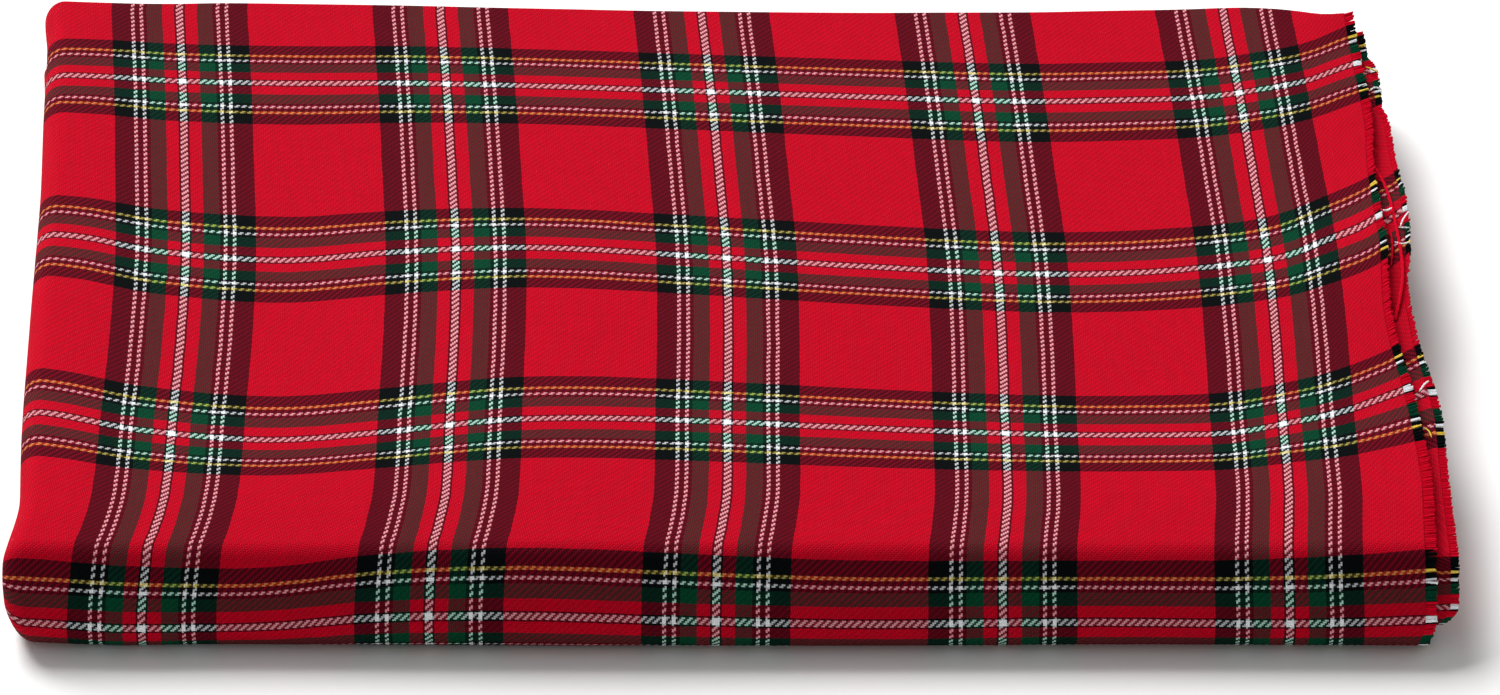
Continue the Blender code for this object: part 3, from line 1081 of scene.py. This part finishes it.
@dataclass
class SelvedgeFringe:
    """The weft's own yarn ends along one raw edge, one end to each weft."""

    edge: RawEdge
    length: float
    spread: float = 0.09
    radius: float = 0.28 * MM
    height: float = 1.5
    root: float = 0.8 * MM
    sway: float = 0.15 * MM
    seed: int = 7
    sides: int = 5
    rings: int = 4

    def _roots(self) -> tuple[list[Vector], list[int], list[float], list[float]]:
        """Where each weft leaves the cloth.

        Returns:
            The places, the weft numbers, the slants and how freely each end lies.
        """
        places, numbers, slants, looseness = [], [], [], []
        edge = self.edge
        for cell in range(len(edge.places) - 1):
            low, high = edge.wefts[cell:cell + 2]
            for number in range(math.ceil(low - 0.5), math.ceil(high - 0.5)):
                share = (number + 0.5 - low) / (high - low)
                places.append(Vector(edge.places[cell]).lerp(Vector(edge.places[cell + 1]), share))
                numbers.append(number)
                slants.append(mix(*edge.slants[cell:cell + 2], share))
                looseness.append(mix(*edge.looseness[cell:cell + 2], share))
        return places, numbers, slants, looseness

    def build(self, finish: bpy.types.Material) -> bpy.types.Object:
        """Lay the yarn ends with Geometry Nodes and keep them as a plain mesh.

        Args:
            finish: the yarn ends' material.

        Returns:
            The fringe as one object.
        """
        places, numbers, slants, looseness = self._roots()
        mesh = bpy.data.meshes.new(self.edge.name + "_roots")
        mesh.from_pydata(places, [], [])
        number = mesh.attributes.new("weft_number", "INT", "POINT")
        number.data.foreach_set("value", numbers)
        for name, values in (("slant", slants), ("looseness", looseness)):
            mesh.attributes.new(name, "FLOAT", "POINT").data.foreach_set("value", values)
        guide = bpy.data.objects.new(self.edge.name + "_roots", mesh)
        bpy.context.scene.collection.objects.link(guide)
        tree = self._tree()
        laid = guide.modifiers.new("yarn ends", "NODES")
        laid.node_group = tree
        sizes = {"Length": self.length + self.root, "Spread": self.spread, "Radius": self.radius,
                 "Height": self.height, "Root": self.root, "Sway": self.sway, "Seed": self.seed,
                 "Finish": finish}
        for item in tree.interface.items_tree:
            if item.item_type == "SOCKET" and item.in_out == "INPUT" and item.name in sizes:
                laid[item.identifier] = sizes[item.name]
        evaluated = guide.evaluated_get(bpy.context.evaluated_depsgraph_get())
        plain = bpy.data.meshes.new_from_object(evaluated)
        guide.modifiers.clear()
        bpy.data.objects.remove(guide)
        plain.name = "fringe_" + self.edge.name
        fringe = bpy.data.objects.new(plain.name, plain)
        bpy.context.scene.collection.objects.link(fringe)
        return fringe

    def _tree(self) -> bpy.types.NodeTree:
        """Build the node tree that lays one yarn end at every root.

        Returns:
            The tree, with its sizes as named inputs.
        """
        tree = bpy.data.node_groups.new("yarn ends", "GeometryNodeTree")
        tree.is_modifier = True
        sockets = (("Roots", "Geometry"), ("Length", "Float"), ("Spread", "Float"),
                   ("Radius", "Float"), ("Height", "Float"), ("Root", "Float"),
                   ("Sway", "Float"), ("Seed", "Int"), ("Finish", "Material"))
        for name, kind in sockets:
            tree.interface.new_socket(name, in_out="INPUT", socket_type="NodeSocket" + kind)
        tree.interface.new_socket("Yarns", in_out="OUTPUT", socket_type="NodeSocketGeometry")
        given = tree.nodes.new("NodeGroupInput").outputs

        def add(kind: str, settings: dict | None = None, inputs: dict | None = None,
                output: int | str = 0) -> bpy.types.NodeSocket:
            """Add a node with its settings and links, and give back one output."""
            node = tree.nodes.new(kind)
            for name, value in (settings or {}).items():
                setattr(node, name, value)
            for key, value in (inputs or {}).items():
                if isinstance(value, bpy.types.NodeSocket):
                    tree.links.new(value, node.inputs[key])
                else:
                    node.inputs[key].default_value = value
            return node.outputs[output]

        def chance(low, high, shift: int) -> bpy.types.NodeSocket:
            """A random value for each yarn, with its own seed."""
            seed = add("ShaderNodeMath", {"operation": "ADD"}, {0: given["Seed"], 1: shift})
            return add("FunctionNodeRandomValue", {"data_type": "FLOAT"},
                       {"Min": low, "Max": high, "Seed": seed}, 1)

        end = add("ShaderNodeCombineXYZ", None, {0: 1.0, 1: given["Sway"]})
        line = add("GeometryNodeCurveQuadraticBezier", None,
                   {"Resolution": self.rings, "Start": (0, 0, 0), "Middle": (0.55, 0, 0), "End": end})
        taper = add("GeometryNodeSplineParameter")
        thin = add("ShaderNodeMath", {"operation": "MULTIPLY_ADD"}, {0: taper, 1: -0.35, 2: 1.0})
        tapered = add("GeometryNodeSetCurveRadius", None, {"Curve": line, "Radius": thin})
        ring = add("GeometryNodeCurvePrimitiveCircle", None,
                   {"Resolution": self.sides, "Radius": given["Radius"]})
        yarn = add("GeometryNodeCurveToMesh", None,
                   {"Curve": tapered, "Profile Curve": ring, "Fill Caps": True})
        roots = add("GeometryNodeMeshToPoints", None, {"Mesh": given["Roots"]})
        slant = add("GeometryNodeInputNamedAttribute", {"data_type": "FLOAT"}, {"Name": "slant"})
        loose = add("GeometryNodeInputNamedAttribute", {"data_type": "FLOAT"}, {"Name": "looseness"})
        turn = add("ShaderNodeMath", {"operation": "ADD"}, {0: slant, 1: chance(-0.12, 0.12, 1)})
        tilt = add("ShaderNodeMath", {"operation": "MULTIPLY"}, {0: loose, 1: chance(-0.04, 0.07, 2)})
        roll = add("ShaderNodeMath", {"operation": "MULTIPLY"}, {0: loose, 1: chance(-0.3, 0.3, 3)})
        turned = add("ShaderNodeCombineXYZ", None, {0: roll, 1: tilt, 2: turn})
        low = add("ShaderNodeMath", {"operation": "SUBTRACT"}, {0: 1.0, 1: given["Spread"]})
        high = add("ShaderNodeMath", {"operation": "ADD"}, {0: 1.0, 1: given["Spread"]})
        share = chance(low, high, 4)
        reach = add("ShaderNodeMath", {"operation": "MULTIPLY"}, {0: given["Length"], 1: share})
        stretch = add("ShaderNodeCombineXYZ", None, {0: reach, 1: 1.0, 2: given["Height"]})
        back = add("ShaderNodeMath", {"operation": "MULTIPLY"}, {0: given["Root"], 1: -1.0})
        move = add("ShaderNodeCombineXYZ", None, {0: back})
        seated = add("GeometryNodeSetPosition", None, {"Geometry": roots, "Offset": move})
        laid = add("GeometryNodeInstanceOnPoints", None,
                   {"Points": seated, "Instance": yarn, "Rotation": turned, "Scale": stretch})
        real = add("GeometryNodeRealizeInstances", None, {"Geometry": laid})
        finished = add("GeometryNodeSetMaterial", None,
                       {"Geometry": real, "Material": given["Finish"]})
        out = tree.nodes.new("NodeGroupOutput")
        tree.links.new(finished, out.inputs["Yarns"])
        return tree


@dataclass(frozen=True)
class Strand:
    """A loose yarn by the raw edges: its weft number for colour, its plies and its path.

    Each point of the path is (x, y) in the maker's frame and the height over the second layer.
    """

    name: str
    weft: int
    plies: int
    radius: float
    twist_length: float
    path: tuple[Point, ...]


def strand(name: str, weft: int, plies: int, radius: float, twist: float,
           *path: Point) -> Strand:
    """A row of the strand table, given in millimetres."""
    scaled = tuple((x * MM, y * MM, rise * MM) for x, y, rise in path)
    return Strand(name, weft, plies, radius * MM, twist * MM, scaled)


@dataclass
class LooseYarns:
    """Yarns that have come away from the outer raw edge and lie on the layer below it."""

    cloth: FoldedCloth
    sides: int = 6
    step: float = 0.5 * MM
    strands: tuple[Strand, ...] = (
        strand("pulled red warp", 60, 3, 0.22, 9.0,
               (175.0, 90.6, 3.3), (176.6, 87.0, 2.6), (178.6, 81.0, 1.7), (179.8, 73.0, 1.1),
               (180.4, 64.0, 0.9), (180.9, 54.6, 0.8), (181.2, 45.0, 0.8), (181.0, 37.0, 0.9),
               (180.0, 29.0, 1.0), (178.6, 21.6, 0.9), (177.6, 17.0, 0.5)),
        strand("second red warp", 60, 2, 0.18, 7.0,
               (177.0, 58.6, 1.4), (178.7, 56.2, 1.2), (178.9, 49.4, 0.9), (178.0, 41.0, 0.6)),
        strand("bent white weft", 0, 2, 0.14, 2.2,
               (181.4, 59.4, 0.7), (183.0, 59.2, 0.8), (184.4, 59.4, 0.7)),
        strand("lifted white weft", 0, 2, 0.14, 2.2,
               (181.8, 59.6, 0.9), (182.8, 62.4, 1.6), (184.6, 66.2, 1.7)),
        strand("twisted white end", 0, 2, 0.20, 2.0,
               (174.8, 63.4, 3.0), (176.6, 65.0, 2.9), (178.2, 65.2, 2.6), (179.8, 67.4, 2.0)),
        strand("upper yellow end", 26, 1, 0.22, 3.0,
               (177.4, 141.6, 1.0), (179.2, 140.3, 1.1), (181.0, 139.2, 0.7)),
        strand("upper white end", 0, 2, 0.16, 2.2,
               (177.6, 129.4, 1.0), (179.4, 131.0, 1.2), (181.4, 130.4, 0.8)),
        strand("low white end", 0, 2, 0.15, 2.2,
               (179.8, 52.0, 0.8), (181.6, 51.0, 0.9), (184.0, 52.0, 0.8)),
        strand("front white end", 0, 2, 0.17, 2.0,
               (182.2, -14.7, 1.0), (183.8, -12.0, 1.5), (185.0, -10.4, 1.3)),
        strand("curled yellow end", 26, 1, 0.22, 3.0,
               (182.4, -30.6, 0.9), (183.6, -32.6, 1.2), (184.2, -35.0, 0.9)),
    )

    def _points(self, yarn: Strand) -> list[Vector]:
        """Points along a strand at an even step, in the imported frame.

        Args:
            yarn: the strand.

        Returns:
            The points.
        """
        lengths = [0.0]
        for first, last in zip(yarn.path, yarn.path[1:]):
            lengths.append(lengths[-1] + math.dist(first[:2], last[:2]))
        count = max(4, round(lengths[-1] / self.step))
        found = []
        for number in range(count + 1):
            x, y, rise = smooth(lengths, list(yarn.path), lengths[-1] * number / count)
            height = self.cloth.surface(2, x, y) + rise
            found.append(Vector((x, y, height)) + self.cloth.offset)
        return found

    def _tube(self, middle: list[Vector], radius: float, points: list, faces: list) -> None:
        """Add a closed tube with thin ends round a line of points.

        Args:
            middle: the line.
            radius: the tube's radius.
            points: the mesh's points, added to.
            faces: the mesh's faces, added to.
        """
        first = len(points)
        last = len(middle) - 1
        for number, centre in enumerate(middle):
            ahead = middle[min(number + 1, last)] - middle[max(number - 1, 0)]
            across = ahead.cross(Vector((0, 0, 1))).normalized()
            over = across.cross(ahead).normalized()
            thin = radius * min(1.0, 0.55 + 0.25 * min(number, last - number))
            for side in range(self.sides):
                turn = 2 * math.pi * side / self.sides
                points.append(centre + (across * math.cos(turn) + over * math.sin(turn)) * thin)
        for number in range(last):
            for side in range(self.sides):
                here = first + number * self.sides + side
                beside = first + number * self.sides + (side + 1) % self.sides
                faces.append((here, beside, beside + self.sides, here + self.sides))
        faces.append(tuple(first + side for side in reversed(range(self.sides))))
        end = first + last * self.sides
        faces.append(tuple(end + side for side in range(self.sides)))

    def build(self, finish: bpy.types.Material) -> bpy.types.Object:
        """Make the strands, each ply wound round the strand's middle line.

        Args:
            finish: the yarn ends' material.

        Returns:
            The strands as one object.
        """
        points: list[Vector] = []
        faces: list[tuple[int, ...]] = []
        wefts: list[int] = []
        for yarn in self.strands:
            middle = self._points(yarn)
            for ply in range(yarn.plies):
                wound = []
                for number, centre in enumerate(middle):
                    ahead = middle[min(number + 1, len(middle) - 1)] - middle[max(number - 1, 0)]
                    across = ahead.cross(Vector((0, 0, 1))).normalized()
                    over = across.cross(ahead).normalized()
                    turn = 2 * math.pi * (number * self.step / yarn.twist_length + ply / yarn.plies)
                    out = 0.0 if yarn.plies == 1 else yarn.radius * (0.9 if yarn.plies == 2 else 1.15)
                    wound.append(centre + across * out * math.cos(turn)
                                 + over * out * 0.6 * math.sin(turn))
                self._tube(wound, yarn.radius, points, faces)
            wefts += [yarn.weft] * (len(points) - len(wefts))
        mesh = bpy.data.meshes.new("loose_yarns")
        mesh.from_pydata(points, [], faces)
        number = mesh.attributes.new("weft_number", "INT", "POINT")
        number.data.foreach_set("value", wefts)
        mesh.materials.append(finish)
        mesh.shade_smooth()
        loose = bpy.data.objects.new("loose_yarns", mesh)
        bpy.context.scene.collection.objects.link(loose)
        return loose


@dataclass
class Studio:
    """Pale floor, soft studio light and the camera at the photograph's angle."""

    elevation: float = math.radians(36.5)
    distance: float = 2.167
    target: Point = (8.9 * MM, -34.3 * MM, 30.0 * MM)
    focal_pixels: float = 7932.0
    photo_width: float = 1500.0
    sensor: float = 36.0
    floor_size: float = 8.0
    floor_colour: str = "#F3F3F2"

    def build_floor(self) -> bpy.types.Object:
        """Lay the floor.

        Returns:
            The floor.
        """
        half = self.floor_size / 2
        corners = [(-half, -half, 0), (half, -half, 0), (half, half, 0), (-half, half, 0)]
        mesh = bpy.data.meshes.new("floor")
        mesh.from_pydata([(x, y, -0.0002) for x, y, _ in corners], [], [(0, 1, 2, 3)])
        floor = bpy.data.objects.new("floor", mesh)
        bpy.context.scene.collection.objects.link(floor)
        shader = Shader("matt_white_paper")
        shader.surface.inputs["Base Color"].default_value = linear(self.floor_colour)
        shader.surface.inputs["Roughness"].default_value = 0.9
        mesh.materials.append(shader.material)
        return floor

    def _area(self, name: str, place: Point, size: float, watts: float) -> None:
        """Hang one soft light that looks at the cloth."""
        light = bpy.data.lights.new(name, "AREA")
        light.shape = "SQUARE"
        light.size = size
        light.energy = watts
        lamp = bpy.data.objects.new(name, light)
        lamp.location = place
        aim = Vector(self.target) - Vector(place)
        lamp.rotation_euler = aim.to_track_quat("-Z", "Y").to_euler()
        bpy.context.scene.collection.objects.link(lamp)

    def light(self) -> None:
        """Set a large key from the back left and a plain bright surround."""
        self._area("key", (-3.6, 5.8, 7.0), 5.6, 1500.0)
        world = bpy.data.worlds.new("studio")
        world.use_nodes = True
        surround = world.node_tree.nodes["Background"]
        surround.inputs["Color"].default_value = (1.0, 1.0, 1.0, 1.0)
        surround.inputs["Strength"].default_value = 0.41
        bpy.context.scene.world = world
        bpy.context.scene.view_settings.view_transform = "Standard"

    def build_camera(self) -> bpy.types.Object:
        """Place the camera.

        Returns:
            The scene's camera.
        """
        data = bpy.data.cameras.new("camera")
        data.sensor_width = self.sensor
        data.lens = self.focal_pixels / self.photo_width * self.sensor
        data.clip_start = 0.1
        data.clip_end = 30.0
        camera = bpy.data.objects.new("camera", data)
        back = Vector((0.0, -math.cos(self.elevation), math.sin(self.elevation)))
        camera.location = Vector(self.target) + back * self.distance
        camera.rotation_euler = (-back).to_track_quat("-Z", "Y").to_euler()
        bpy.context.scene.collection.objects.link(camera)
        bpy.context.scene.camera = camera
        return camera


def hand_over(piece: bpy.types.Object) -> None:
    """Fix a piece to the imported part's only body."""
    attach(piece, "root")


def main() -> None:
    """Build the camera, the cloth and its fringes, and report each."""
    logging.basicConfig(level=logging.INFO, format="%(message)s")
    studio = Studio()
    studio.build_camera()
    studio.build_floor()
    studio.light()
    folded = FoldedCloth()
    cloth = folded.build()
    folded.dress(cloth, TwillFinish())
    hand_over(cloth)
    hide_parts(CAD_NODE)
    LOG.info("%s: %d points", cloth.name, len(cloth.data.vertices))
    yarn_finish = YarnEndFinish().build()
    for edge, length in ((folded.outer_edge, folded.outer_fringe),
                         (folded.inner_edge, folded.inner_fringe)):
        fringe = SelvedgeFringe(edge, length).build(yarn_finish)
        hand_over(fringe)
        LOG.info("%s: %d points", fringe.name, len(fringe.data.vertices))
    loose = LooseYarns(folded).build(yarn_finish)
    hand_over(loose)
    LOG.info("%s: %d points", loose.name, len(loose.data.vertices))


if __name__ == "__main__":
    main()
